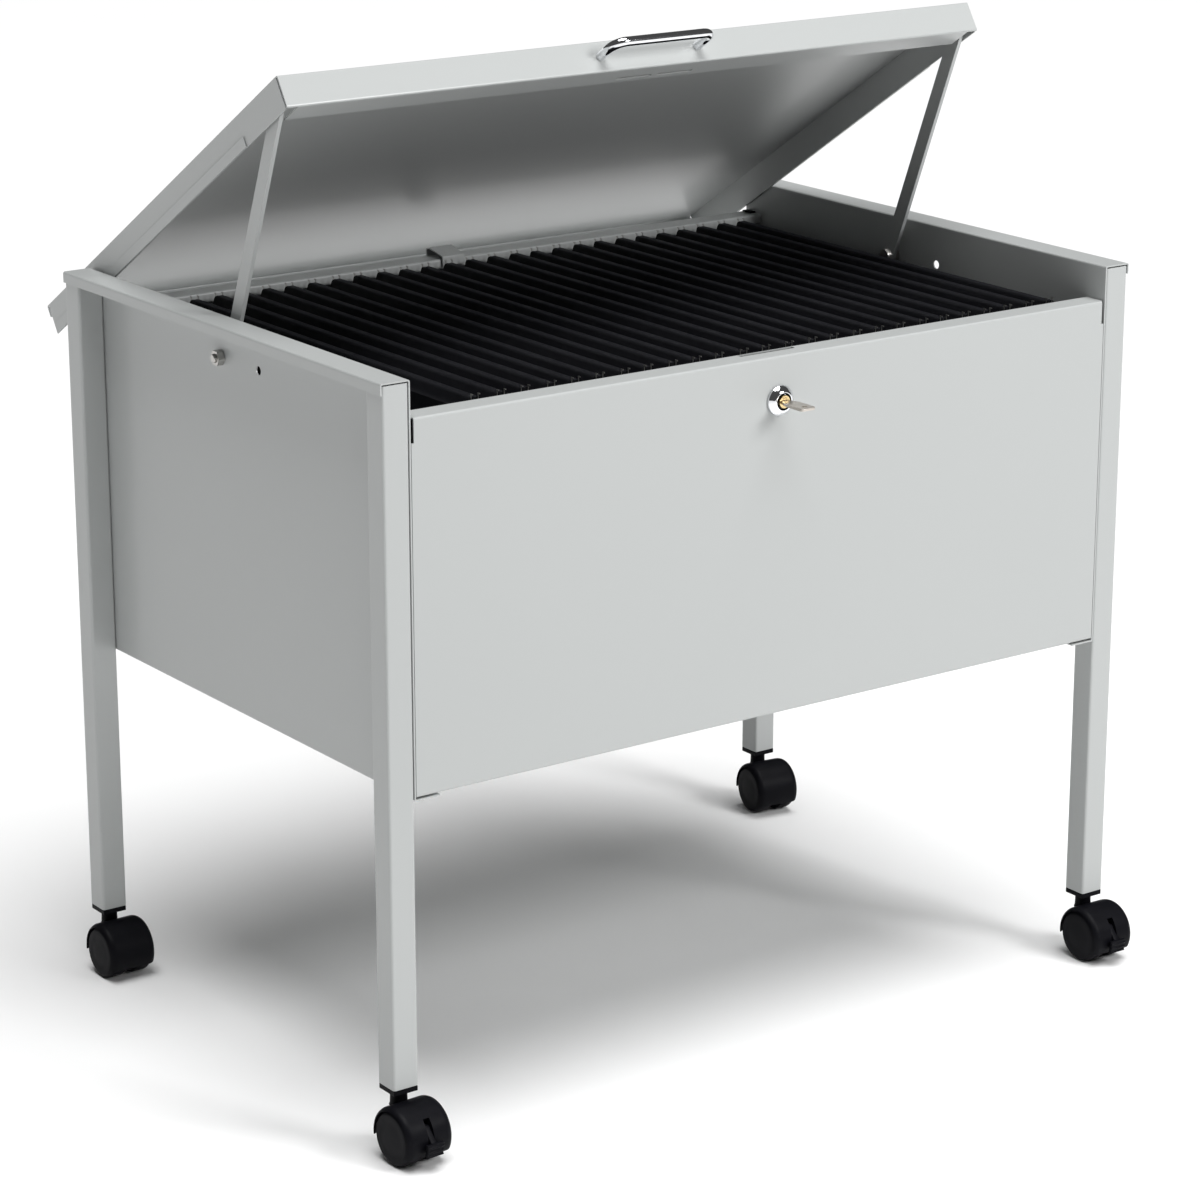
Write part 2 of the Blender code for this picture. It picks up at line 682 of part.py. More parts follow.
def build_wheel(name, hood, side):
    inner = WEB_HALF_WIDTH + 0.5 * MM
    outer = HOOD_HALF_WIDTH - 0.4 * MM
    bore = 2.3 * MM
    profile = [(0, outer), (9 * MM, outer)]
    profile += arc((15.5 * MM, outer - 4.5 * MM), 4.5 * MM, 90, 0, 3)
    profile += [(WHEEL_RADIUS, inner + 1 * MM), (WHEEL_RADIUS - 1 * MM, inner)]
    profile += [(bore, inner), (bore, HOOD_HALF_WIDTH - 2 * MM), (0, HOOD_HALF_WIDTH - 2 * MM)]
    wheel = turned(name, profile, BLACK, 28)
    adopt(wheel, hood, (0, -TRAIL, WHEEL_RADIUS), along_x(side))


def build_brake(name, hood):
    """A foot lever on a pin in the hood's slot, with a broad pedal over the hood's front edge."""
    pivot = hood_point(*BRAKE_PIVOT)
    reach = PEDAL_INNER + MM
    arm = arc(pivot, BRAKE_BOSS, -20, 160, 8)
    arm += [hood_point(reach, PEDAL_TOP_ANGLE - 2), hood_point(reach, PEDAL_LOW_ANGLE + 2)]
    arm.append(hood_point(17 * MM, -34))
    pedal = hood_arc(PEDAL_INNER, PEDAL_TOP_ANGLE, PEDAL_LOW_ANGLE, 5)
    pedal += hood_arc(PEDAL_OUTER, PEDAL_LOW_ANGLE, PEDAL_TOP_ANGLE, 5)
    centred = Matrix.Translation((0, -pivot[0], -pivot[1]))
    lever = flat_piece("brake_lever_" + name, [arm], BRAKE_ARM_WIDTH, "YZ", BLACK)
    lever.data.transform(centred)
    adopt(lever, hood, (0, pivot[0], pivot[1]))
    pad = flat_piece("pedal_" + name, [pedal], PEDAL_WIDTH, "YZ", BLACK)
    pad.data.transform(centred)
    join(lever, adopt(pad, lever))
    bore = cylinder("lever_bore_" + name, 1.3 * MM, -4 * MM, 4 * MM, BLACK, 12)
    cut(lever, adopt(bore, lever, (0, 0, 0), along_x(1)))
    pin = cylinder("brake_pin_" + name, MM, -3.8 * MM, 3.8 * MM, STEEL, 12)
    adopt(pin, hood, (0, pivot[0], pivot[1]), along_x(1))


def build_caster(name, side, end, heading):
    x = side * (CASE_WIDTH - TUBE) / 2
    y = end * (CASE_DEPTH - TUBE) / 2
    half = TUBE / 2 - 0.4 * MM
    boss = TUBE / 2 - TUBE_WALL - GAP
    top = LEG_BOTTOM - GAP
    plug = box("leg_plug_" + name, (-half, -half, PLUG_BOTTOM), (half, half, top), BLACK, 0.5 * MM)
    adopt(plug, ROOT, (x, y, 0))
    plug_boss = box("plug_boss_" + name, (-boss, -boss, LEG_BOTTOM - MM), (boss, boss, 69 * MM), BLACK)
    join(plug, adopt(plug_boss, plug))
    bore = cylinder("plug_bore_" + name, 2.8 * MM, PLUG_BOTTOM - MM, 71 * MM, BLACK, 16)
    cut(plug, adopt(bore, plug))
    stem = cylinder("caster_stem_" + name, 2.5 * MM, 29 * MM, 68 * MM, STEEL, 16)
    adopt(stem, ROOT, (x, y, 0))

    swivel = bpy.data.objects.new("swivel_" + name, None)
    PARTS.objects.link(swivel)
    adopt(swivel, ROOT, (x, y, 0), (0, 0, math.radians(heading)))
    hood = build_hood(name, swivel, end < 0)
    axle = cylinder("caster_axle_" + name, 2 * MM, -15.5 * MM, 15.5 * MM, STEEL, 16)
    adopt(axle, hood, (0, -TRAIL, WHEEL_RADIUS), along_x(1))
    build_wheel("wheel_" + name + "_a", hood, -1)
    build_wheel("wheel_" + name + "_b", hood, 1)
    if end < 0:
        build_brake(name, hood)


# ---------------------------------------------------------------- assembly


def stand_on_origin():
    """Moves the whole model so that the middle of its box's bottom is the origin."""
    bpy.context.view_layer.update()
    graph = bpy.context.evaluated_depsgraph_get()
    corners = []
    for obj in PARTS.objects:
        if obj.type == "MESH":
            shape = obj.evaluated_get(graph)
            corners += [shape.matrix_world @ v.co for v in shape.data.vertices]
    low = [min(c[i] for c in corners) for i in range(3)]
    high = [max(c[i] for c in corners) for i in range(3)]
    ROOT.location = (-(low[0] + high[0]) / 2, -(low[1] + high[1]) / 2, -low[2])


for corner_name, (corner_side, corner_end, caster_heading) in CASTERS.items():
    build_leg(corner_name, corner_side, corner_end)
    build_caster(corner_name, corner_side, corner_end, caster_heading)
build_front_panel()
build_end_panel("rear_panel", 1)
build_bottom_panel()
build_rear_clip()
build_files()
build_lid()
build_lock()
for side_name, side_sign in (("left", -1), ("right", 1)):
    build_side_panel(side_name, side_sign)
    build_glide(side_name, side_sign)
    build_stay(side_name, side_sign)
stand_on_origin()
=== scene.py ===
"""Looks for the mobile suspension-file trolley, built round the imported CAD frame.

The folded steel case, legs, lid and stays are the CAD pieces with a painted finish. The hanging files,
casters, handle, lock and key are modelled here in finer detail and stand for their CAD nodes.
"""
import math

import bmesh
import bpy
from mathutils import Matrix, Vector


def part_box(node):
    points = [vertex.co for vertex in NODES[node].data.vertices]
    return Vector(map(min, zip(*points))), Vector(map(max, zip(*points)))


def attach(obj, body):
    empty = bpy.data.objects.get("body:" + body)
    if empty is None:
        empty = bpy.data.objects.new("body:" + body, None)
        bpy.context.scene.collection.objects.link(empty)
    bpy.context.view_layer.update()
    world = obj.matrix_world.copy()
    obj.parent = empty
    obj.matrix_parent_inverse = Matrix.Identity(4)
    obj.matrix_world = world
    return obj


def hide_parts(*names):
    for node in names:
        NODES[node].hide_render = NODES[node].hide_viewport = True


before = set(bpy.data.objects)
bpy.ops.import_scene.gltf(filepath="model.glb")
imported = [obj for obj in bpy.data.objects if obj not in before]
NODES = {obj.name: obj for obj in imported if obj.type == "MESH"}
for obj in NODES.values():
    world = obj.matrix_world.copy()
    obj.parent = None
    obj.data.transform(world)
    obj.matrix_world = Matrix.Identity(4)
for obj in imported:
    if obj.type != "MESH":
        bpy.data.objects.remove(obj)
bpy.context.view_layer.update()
MM = 0.001

CORNERS = ("front_left", "front_right", "back_left", "back_right")
SHARP_ANGLE = 35

# Lid: the stud axis is this far behind the front wall and below the top sheet
LID_OPEN_ANGLE = math.radians(32.3)
LID_HEIGHT = 23.5 * MM
STUD_SETBACK = 12 * MM
STUD_DROP = 12 * MM

# Handle: a rod bent to a flat U
HANDLE_HALF = 42.5 * MM
HANDLE_REACH = 26 * MM
HANDLE_ROD = 3.5 * MM
HANDLE_CORNER = 9 * MM
HANDLE_GAP = 0.3 * MM

# Casters, about each axle: x along it, r away from it
WHEEL_RADIUS = 20 * MM
HOOD_RADIUS = 22.4 * MM
HOOD_INNER = 21 * MM
HOOD_HALF_WIDTH = 18.7 * MM
HOOD_RIM_X = 13.5 * MM
HOOD_RIM_CENTRE = 18.6 * MM
HOOD_RIM_OUTER = (5.2 * MM, 3.8 * MM)
HOOD_RIM_INNER = (4.1 * MM, 2.4 * MM)
HOOD_RIM_TURN = 72
WEB_HALF_WIDTH = 4 * MM
WEB_FOOT = 7 * MM
HOOD_FRONT_ANGLE = -26
HOOD_REAR_ANGLE = 188
SLOT_HALF_WIDTH = 2.6 * MM
SLOT_TOP_ANGLE = 46
COLLAR_RADIUS = 6 * MM
TREAD_ROUND = 4.6 * MM

# Brake lever
BRAKE_PIVOT = (16.5 * MM, 26)
BRAKE_BOSS = 3.6 * MM
ARM_WIDTH = 4.4 * MM
PEDAL_INNER = 24.6 * MM
PEDAL_OUTER = 27.2 * MM
PEDAL_RIDGE = 0.8 * MM
PEDAL_TOP_ANGLE = 3
PEDAL_LOW_ANGLE = -18
PEDAL_WIDTH = 13.5 * MM

# Hanging files: each is a ridge of card over its bars, given as (share of the pitch, depth below the top)
FILE_COUNT = 26
RIDGE = (
    (0.00, 7.5 * MM),
    (0.10, 7.1 * MM),
    (0.17, 5.4 * MM),
    (0.23, 1.6 * MM),
    (0.27, 0.4 * MM),
    (0.33, 0.0 * MM),
    (0.45, 0.3 * MM),
    (0.57, 0.1 * MM),
    (0.63, 0.6 * MM),
    (0.72, 2.8 * MM),
    (0.86, 6.4 * MM),
    (0.97, 7.5 * MM),
)
BAR_SHARES = (0.30, 0.58)
FOLD_SHARES = (0.56, 0.42)
FRONT_HOOK_REACH = 1.6 * MM
REAR_HOOK_REACH = 1.2 * MM
HOOK_ROOT = 1.0 * MM
HOOK_CLEARANCE = 0.3 * MM
HOOK_THICKNESS = 0.7 * MM
HOOK_HALF_WIDTH = 0.3 * MM

# Lock and key
LOCK_BORE = 6.3 * MM
LOCK_BARREL = 8 * MM
KEY_BLADE = 2.9 * MM
KEY_SHOULDER = 3.6 * MM
KEY_NECK = 5 * MM
KEY_BOW = 6.2 * MM
KEY_CORNER = 2.4 * MM
KEY_EYE_RADIUS = 2 * MM
KEY_EYE_SETBACK = 5 * MM

# Floor, lights and camera, in metres and watts; the camera's place is measured from the middle of the case
FLOOR_HALF = 60.0
WORLD_STRENGTH = 0.07
KEY_LIGHT_PLACE = (1.1, -2.6, 1.95)
KEY_LIGHT_TARGET = (0, 0, 0.45)
KEY_LIGHT_SIZE = 0.9
KEY_LIGHT_POWER = 54
OVERHEAD_STRENGTH = 3.6
OVERHEAD_ANGLE = 45
OVERHEAD_TILT = 9
CAMERA_AZIMUTH = -35.651
CAMERA_ELEVATION = 16.867
CAMERA_LENS = 113.0
CAMERA_OFFSET = (-1.5799, -2.2042)
CAMERA_HEIGHT = 1.1114


# ---------------------------------------------------------------- materials


class Shader:
    """A material's node tree, with short calls for the nodes that the finishes share."""

    def __init__(self, name, roughness, metallic=0.0, **sockets):
        self.material = bpy.data.materials.new(name)
        self.material.use_nodes = True
        self.tree = self.material.node_tree
        self.surface = self.tree.nodes["Principled BSDF"]
        self.surface.inputs["Roughness"].default_value = roughness
        self.surface.inputs["Metallic"].default_value = metallic
        for socket, value in sockets.items():
            self.surface.inputs[socket.replace("_", " ")].default_value = value
        self.place = self.tree.nodes.new("ShaderNodeTexCoord").outputs["Object"]

    def noise(self, scale, detail=3.0, stretch=(1, 1, 1)):
        mapping = self.tree.nodes.new("ShaderNodeMapping")
        mapping.inputs["Scale"].default_value = stretch
        self.tree.links.new(self.place, mapping.inputs["Vector"])
        texture = self.tree.nodes.new("ShaderNodeTexNoise")
        texture.inputs["Scale"].default_value = scale
        texture.inputs["Detail"].default_value = detail
        self.tree.links.new(mapping.outputs["Vector"], texture.inputs["Vector"])
        return texture.outputs["Fac"]

    def colour(self, factor, dark, light):
        ramp = self.tree.nodes.new("ShaderNodeValToRGB")
        ramp.color_ramp.elements[0].color = (*dark, 1)
        ramp.color_ramp.elements[1].color = (*light, 1)
        self.tree.links.new(factor, ramp.inputs["Fac"])
        self.tree.links.new(ramp.outputs["Color"], self.surface.inputs["Base Color"])

    def roughness(self, factor, low, high):
        span = self.tree.nodes.new("ShaderNodeMapRange")
        span.inputs["To Min"].default_value = low
        span.inputs["To Max"].default_value = high
        self.tree.links.new(factor, span.inputs["Value"])
        self.tree.links.new(span.outputs["Result"], self.surface.inputs["Roughness"])

    def bump(self, height, strength, distance):
        bump = self.tree.nodes.new("ShaderNodeBump")
        bump.inputs["Strength"].default_value = strength
        bump.inputs["Distance"].default_value = distance
        self.tree.links.new(height, bump.inputs["Height"])
        self.tree.links.new(bump.outputs["Normal"], self.surface.inputs["Normal"])


def painted_steel():
    """Light grey powder coat: a faint orange peel, and a colour and gloss that wander very little."""
    shader = Shader("paint_finish", 0.34, Coat_Weight=0.15, Coat_Roughness=0.14)
    shader.colour(shader.noise(4, 1), (0.412, 0.426, 0.423), (0.426, 0.440, 0.436))
    shader.roughness(shader.noise(350, 1), 0.33, 0.37)
    shader.bump(shader.noise(1100, 1), 0.03, 0.02 * MM)
    return shader.material


def moulded_plastic():
    """Black moulding with a fine spark-eroded grain."""
    shader = Shader("plastic_finish", 0.46, Specular_IOR_Level=0.07)
    shader.colour(shader.noise(60, 2), (0.002, 0.002, 0.003), (0.005, 0.005, 0.007))
    shader.roughness(shader.noise(140, 3), 0.36, 0.56)
    shader.bump(shader.noise(2600, 2), 0.22, 0.05 * MM)
    return shader.material


def polished_chrome():
    shader = Shader("chrome_finish", 0.06, 1.0)
    shader.colour(shader.noise(40, 2), (0.76, 0.77, 0.79), (0.84, 0.85, 0.87))
    shader.roughness(shader.noise(500, 4), 0.03, 0.11)
    shader.bump(shader.noise(1400, 2), 0.03, 0.02 * MM)
    return shader.material


def plated_zinc():
    """Bright zinc plate, with drawn lines and a slightly clouded surface."""
    shader = Shader("zinc_finish", 0.3, 1.0)
    shader.colour(shader.noise(220, 4), (0.42, 0.41, 0.39), (0.56, 0.55, 0.53))
    shader.roughness(shader.noise(900, 3, (1, 1, 8)), 0.22, 0.40)
    shader.bump(shader.noise(1800, 2, (1, 1, 6)), 0.10, 0.03 * MM)
    return shader.material


def worn_nickel():
    """A key's warm nickel plate, with fine scratches along it."""
    shader = Shader("nickel_finish", 0.3, 1.0)
    shader.colour(shader.noise(260, 3), (0.50, 0.46, 0.42), (0.60, 0.56, 0.51))
    shader.roughness(shader.noise(800, 3, (6, 1, 1)), 0.26, 0.42)
    shader.bump(shader.noise(1500, 2, (6, 1, 1)), 0.08, 0.02 * MM)
    return shader.material


def plain_brass():
    shader = Shader("brass_finish", 0.28, 1.0)
    shader.colour(shader.noise(300, 3), (0.60, 0.45, 0.22), (0.78, 0.62, 0.34))
    shader.roughness(shader.noise(1100, 3), 0.20, 0.38)
    shader.bump(shader.noise(2000, 2), 0.08, 0.02 * MM)
    return shader.material


def folder_card():
    """Black pressed card: short fibres and a faint bluish sheen."""
    shader = Shader("card_finish", 0.6, Sheen_Weight=0.02, Sheen_Roughness=0.45, Specular_IOR_Level=0.12)
    shader.surface.inputs["Sheen Tint"].default_value = (0.55, 0.62, 0.85, 1)
    shader.colour(shader.noise(400, 4, (1, 0.25, 1)), (0.0015, 0.0015, 0.002), (0.004, 0.004, 0.0055))
    shader.roughness(shader.noise(90, 3), 0.50, 0.68)
    shader.bump(shader.noise(1500, 3, (1, 0.3, 1)), 0.30, 0.06 * MM)
    return shader.material


def floor_finish():
    shader = Shader("floor_finish", 0.75)
    shader.colour(shader.noise(3, 2), (0.86, 0.86, 0.86), (0.88, 0.88, 0.88))
    shader.bump(shader.noise(200, 2), 0.03, 0.1 * MM)
    return shader.material


FINISH = {
    "paint": painted_steel(),
    "black_plastic": moulded_plastic(),
    "zinc_steel": plated_zinc(),
    "nickel": worn_nickel(),
    "chrome": polished_chrome(),
    "brass": plain_brass(),
    "folder_card": folder_card(),
}


def finish_cad_nodes():
    """Gives every CAD node the finish of its own material slot."""
    classes = {
        "light_grey_paint": "paint",
        "black_card": "folder_card",
    }
    for obj in NODES.values():
        for held in obj.material_slots:
            name = held.material.name.split(".")[0]
            held.material = FINISH[classes.get(name, name)]


# ---------------------------------------------------------------- shape helpers


def middle(node):
    low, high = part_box(node)
    return (low + high) / 2


def arc(centre, radius, start, end, steps):
    angles = [math.radians(start + (end - start) * i / steps) for i in range(steps + 1)]
    return [(centre[0] + radius * math.cos(a), centre[1] + radius * math.sin(a)) for a in angles]


def polar(radius, angle):
    """A point beside the axle as (y, z): the angle is measured up from straight ahead."""
    a = math.radians(angle)
    return (-radius * math.cos(a), radius * math.sin(a))


def polar_arc(radius, start, end, steps):
    return [polar(radius, start + (end - start) * i / steps) for i in range(steps + 1)]


def piece(name, mesh_data, matrix, body, slot, replaces=(), smooth=SHARP_ANGLE, bevel=0.0, finish=None):
    """A finished piece from (vertices, faces), put in place and tied to its CAD body.

    Its finish is the one of its material slot, unless another is named.
    """
    mesh = bpy.data.meshes.new(name)
    mesh.from_pydata([tuple(v) for v in mesh_data[0]], [], mesh_data[1])
    bm = bmesh.new()
    bm.from_mesh(mesh)
    bmesh.ops.recalc_face_normals(bm, faces=bm.faces)
    if bevel:
        inner_edges = [e for e in bm.edges if len(e.link_faces) == 2]
        sharp = [e for e in inner_edges if e.calc_face_angle() > math.radians(SHARP_ANGLE)]
        rounding = {"segments": 3, "profile": 0.5, "affect": "EDGES", "clamp_overlap": True}
        bmesh.ops.bevel(bm, geom=sharp, offset=bevel, **rounding)
    bm.to_mesh(mesh)
    bm.free()
    mesh.transform(matrix)
    mesh.materials.append(FINISH[finish or slot])
    mesh.shade_smooth()
    mesh.set_sharp_from_angle(angle=math.radians(smooth))
    obj = bpy.data.objects.new(name, mesh)
    bpy.context.scene.collection.objects.link(obj)
    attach(obj, body)
    if replaces:
        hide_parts(*replaces)
    return obj


def merge(*parts):
    """Several (vertices, faces) as one."""
    vertices = []
    faces = []
    for part_vertices, part_faces in parts:
        start = len(vertices)
        vertices += [tuple(v) for v in part_vertices]
        faces += [[start + i for i in face] for face in part_faces]
    return vertices, faces


def placed(part, matrix):
    return [matrix @ Vector(v) for v in part[0]], part[1]


def prism(outline, low, high):
    """An outline of (y, z) points, extruded along x from low to high."""
    count = len(outline)
    vertices = [(low, y, z) for y, z in outline] + [(high, y, z) for y, z in outline]
    faces = [list(range(count))[::-1], list(range(count, 2 * count))]
    faces += [[i, (i + 1) % count, count + (i + 1) % count, count + i] for i in range(count)]
    return vertices, faces


def turned(profile, steps=96):
    """A closed profile of (radius, x) turned about the x axis; a zero radius closes on the axis."""
    vertices = []
    rings = []
    for radius, x in profile:
        if radius == 0:
            rings.append([len(vertices)] * steps)
            vertices.append((x, 0, 0))
        else:
            rings.append([len(vertices) + i for i in range(steps)])
            turns = [2 * math.pi * i / steps for i in range(steps)]
            vertices += [(x, radius * math.cos(t), radius * math.sin(t)) for t in turns]
    faces = []
    loops = list(zip(rings, rings[1:]))
    if profile[0][0] and profile[-1][0]:
        loops.append((rings[-1], rings[0]))
    for near, far in loops:
        for i in range(steps):
            j = (i + 1) % steps
            corners = [near[i], near[j], far[j], far[i]]
            face = [c for k, c in enumerate(corners) if c not in corners[:k]]
            if len(face) > 2:
                faces.append(face)
    return vertices, faces


def swept(section, start, end, steps):
    """A closed section of (x, radius) points swept about the axle between two angles."""
    count = len(section)
    vertices = []
    for i in range(steps + 1):
        angle = start + (end - start) * i / steps
        vertices += [(x, *polar(radius, angle)) for x, radius in section]
    faces = [list(range(count)), list(range(steps * count, (steps + 1) * count))[::-1]]
    for i in range(steps):
        for j in range(count):
            k = (j + 1) % count
            faces.append([i * count + j, i * count + k, (i + 1) * count + k, (i + 1) * count + j])
    return vertices, faces


def tube(path, radius, sides=28):
    """A round rod along a planar path in x and y."""
    vertices = []
    for i, point in enumerate(path):
        before = path[max(i - 1, 0)]
        after = path[min(i + 1, len(path) - 1)]
        along = (Vector(after) - Vector(before)).normalized()
        across = Vector((-along.y, along.x, 0))
        for j in range(sides):
            turn = 2 * math.pi * j / sides
            offset = across * math.cos(turn) + Vector((0, 0, 1)) * math.sin(turn)
            vertices.append(Vector((point[0], point[1], 0)) + offset * radius)
    last = (len(path) - 1) * sides
    faces = [list(range(sides)), list(range(last, last + sides))[::-1]]
    for i in range(len(path) - 1):
        for j in range(sides):
            k = (j + 1) % sides
            faces.append([i * sides + j, i * sides + k, (i + 1) * sides + k, (i + 1) * sides + j])
    return vertices, faces


# ---------------------------------------------------------------- casters


def hood_section():
    """The hood's cut through, from the web out over the wheel to a thin rounded rim, on both sides."""
    outer = hood_rim(*HOOD_RIM_OUTER)
    inner = hood_rim(*HOOD_RIM_INNER)
    return outer + inner[::-1] + [(WEB_HALF_WIDTH, HOOD_INNER), (WEB_HALF_WIDTH, WEB_FOOT)]


def hood_rim(across, out):
    """Points from the top of the hood over the wheel's outer edge, towards the hood's rim."""
    turns = [math.radians(HOOD_RIM_TURN) * i / 8 for i in range(9)]
    return [(HOOD_RIM_X + across * math.sin(t), HOOD_RIM_CENTRE + out * math.cos(t)) for t in turns]


def full_section(half):
    return half + [(-x, r) for x, r in half[::-1]]


def slotted_section(half):
    """One side of the hood where the brake's slot parts it."""
    return [(SLOT_HALF_WIDTH, HOOD_RADIUS)] + half + [(SLOT_HALF_WIDTH, WEB_FOOT)]


def mirrored(part):
    return [(-v[0], v[1], v[2]) for v in part[0]], [face[::-1] for face in part[1]]


def collar(height):
    """The neck above the hood, flared where it meets it; its axis is local z."""
    profile = [(0, height)]
    profile += [(COLLAR_RADIUS - 0.5 * MM, height), (COLLAR_RADIUS, height - 0.5 * MM)]
    profile += [(COLLAR_RADIUS, 6 * MM), (COLLAR_RADIUS + 0.2 * MM, 1 * MM), (COLLAR_RADIUS + 0.8 * MM, 0)]
    profile += [(COLLAR_RADIUS - 1 * MM, -3 * MM), (0, -3 * MM)]
    return placed(turned(profile, 48), Matrix.Rotation(-math.pi / 2, 4, "Y"))


def wheel_profile():
    """From the domed outer disc over the tread to the inner face, away from the web."""
    inner = WEB_HALF_WIDTH + 0.5 * MM
    outer = HOOD_HALF_WIDTH - 0.4 * MM
    profile = [(0, outer), (4 * MM, outer - 0.05 * MM), (9 * MM, outer - 0.25 * MM)]
    profile += [(13 * MM, outer - 0.6 * MM)]
    profile += [(r, x) for x, r in rounded_tread(outer)]
    profile += [(WHEEL_RADIUS, inner + 1.2 * MM), (WHEEL_RADIUS - 0.4 * MM, inner + 0.3 * MM)]
    profile += [(WHEEL_RADIUS - 1.2 * MM, inner), (0, inner)]
    return profile


def rounded_tread(outer):
    return arc((outer - TREAD_ROUND, WHEEL_RADIUS - TREAD_ROUND), TREAD_ROUND, 15, 90, 9)


def lever_parts():
    """The arm in the slot, and the pedal with three ridges across it."""
    pivot = polar(*BRAKE_PIVOT)
    reach = PEDAL_INNER + 1 * MM
    arm = arc(pivot, BRAKE_BOSS, -20, 160, 18)
    arm += [polar(reach, PEDAL_TOP_ANGLE - 2), polar(reach, PEDAL_LOW_ANGLE + 2), polar(17 * MM, -34)]
    pedal = polar_arc(PEDAL_INNER, PEDAL_TOP_ANGLE, PEDAL_LOW_ANGLE, 12)
    for i in range(25):
        angle = PEDAL_LOW_ANGLE + (PEDAL_TOP_ANGLE - PEDAL_LOW_ANGLE) * i / 24
        ridge = max(0.0, math.sin(2 * math.pi * 3 * i / 24))
        pedal.append(polar(PEDAL_OUTER + PEDAL_RIDGE * ridge, angle))
    return prism(arm, -ARM_WIDTH / 2, ARM_WIDTH / 2), prism(pedal, -PEDAL_WIDTH / 2, PEDAL_WIDTH / 2)


def build_caster(corner):
    braked = corner.startswith("front")
    axle = middle("caster_axle_" + corner)
    stem = middle("caster_stem_" + corner)
    rearward = Vector((stem.x - axle.x, stem.y - axle.y, 0)).normalized()
    heading = math.atan2(-rearward.x, rearward.y)
    at_axle = Matrix.Translation(axle) @ Matrix.Rotation(heading, 4, "Z")
    body = "caster_" + corner

    half = hood_section()
    if braked:
        cheek = swept(slotted_section(half), HOOD_FRONT_ANGLE, SLOT_TOP_ANGLE, 24)
        parts = [swept(full_section(half), SLOT_TOP_ANGLE, HOOD_REAR_ANGLE, 48), cheek, mirrored(cheek)]
    else:
        parts = [swept(full_section(half), HOOD_FRONT_ANGLE, HOOD_REAR_ANGLE, 72)]
    trail = Vector((stem.x - axle.x, stem.y - axle.y)).length
    neck_foot = math.sqrt(HOOD_RADIUS**2 - trail**2)
    neck_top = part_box("caster_hood_" + corner)[1].z - axle.z
    parts.append(placed(collar(neck_top - neck_foot), Matrix.Translation((0, trail, neck_foot))))
    node = "caster_hood_" + corner
    piece("hood_" + corner, merge(*parts), at_axle, body, "black_plastic", (node,))

    for letter, side in (("a", -1), ("b", 1)):
        node = f"wheel_{corner}_{letter}"
        shape = turned(wheel_profile())
        shape = mirrored(shape) if side < 0 else shape
        piece(node + "_tyre", shape, at_axle, node, "black_plastic", (node,))
    if braked:
        node = "brake_lever_" + corner
        arm, pedal = lever_parts()
        brake_body = "brake_" + corner
        piece("brake_arm_" + corner, arm, at_axle, brake_body, "black_plastic", (node,), bevel=0.4 * MM)
        piece("brake_pedal_" + corner, pedal, at_axle, brake_body, "black_plastic", bevel=0.25 * MM)


# ---------------------------------------------------------------- hanging files


def build_files():
    """Hanging files side by side: card pockets on bars, whose hooks lie on the front and rear rails."""
    low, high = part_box("suspension_files")
    rail_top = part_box("front_panel")[1].z
    pitch = (high.x - low.x) / FILE_COUNT
    cards = []
    front_hooks = []
    rear_hooks = []
    for i in range(FILE_COUNT):
        lean = 0.6 * MM * math.sin(i * 2.4)
        top = high.z - 0.4 * MM * (1 + math.sin(i * 5.1 + 1.0))
        cards.append(pocket(low.x + i * pitch, pitch, lean, top, low, high))
        for share in BAR_SHARES:
            x = low.x + (i + share) * pitch + lean
            front_hooks.append(bar_hook(x, rail_top, low.y + HOOK_ROOT, low.y - FRONT_HOOK_REACH))
            rear_hooks.append(bar_hook(x, rail_top, high.y - HOOK_ROOT, high.y + REAR_HOOK_REACH))
    place = Matrix.Identity(4)
    piece("folder_cards", merge(*cards), place, "case", "folder_card", ("suspension_files",), smooth=50)
    piece("folder_hooks_front", merge(*front_hooks), place, "case", "zinc_steel")
    piece("folder_hooks_rear", merge(*rear_hooks), place, "case", "zinc_steel")


def pocket(start, pitch, lean, top, low, high):
    """One file, cut across as (x, z): the card's ridge over the bars, then its sides down to the fold."""
    ridge = []
    for share, depth in RIDGE:
        sway = lean * (1 - depth / RIDGE[0][1])
        ridge.append((start + share * pitch + sway, top - depth))
    bottom = low.z + 1 * MM
    right = bowed_side(ridge[-1], (start + FOLD_SHARES[0] * pitch, bottom), 1.2 * MM)
    left = bowed_side((start + FOLD_SHARES[1] * pitch, bottom), ridge[0], 1.2 * MM)
    section = ridge + right + left[:-1]
    count = len(section)
    front = low.y + 0.5 * MM
    back = high.y - 0.5 * MM
    vertices = [(u, front, z) for u, z in section] + [(u, back, z) for u, z in section]
    faces = [list(range(count)), list(range(count, 2 * count))[::-1]]
    faces += [[i, (i + 1) % count, count + (i + 1) % count, count + i] for i in range(count)]
    return vertices, faces


def bowed_side(start, end, bow, steps=8):
    """Points after the start, down or up a card that bows a little into its own pocket."""
    inward = -bow if end[1] < start[1] else bow
    points = []
    for j in range(1, steps + 1):
        t = j / steps
        x = start[0] + (end[0] - start[0]) * t + inward * math.sin(math.pi * t)
        points.append((x, start[1] + (end[1] - start[1]) * t))
    return points


def bar_hook(x, rail_top, root, tip):
    """A bar's flat end: up from the bar, over the rail's edge, with a lip down at the tip."""
    low_z = rail_top + HOOK_CLEARANCE
    high_z = low_z + HOOK_THICKNESS
    step = HOOK_THICKNESS if tip > root else -HOOK_THICKNESS
    outline = [
        (root, low_z - 4 * MM),
        (root, high_z),
        (tip, high_z),
        (tip, low_z),
        (root + step, low_z),
        (root + step, low_z - 4 * MM),
    ]
    return prism(outline, x - HOOK_HALF_WIDTH, x + HOOK_HALF_WIDTH)


# ---------------------------------------------------------------- handle, lock and key


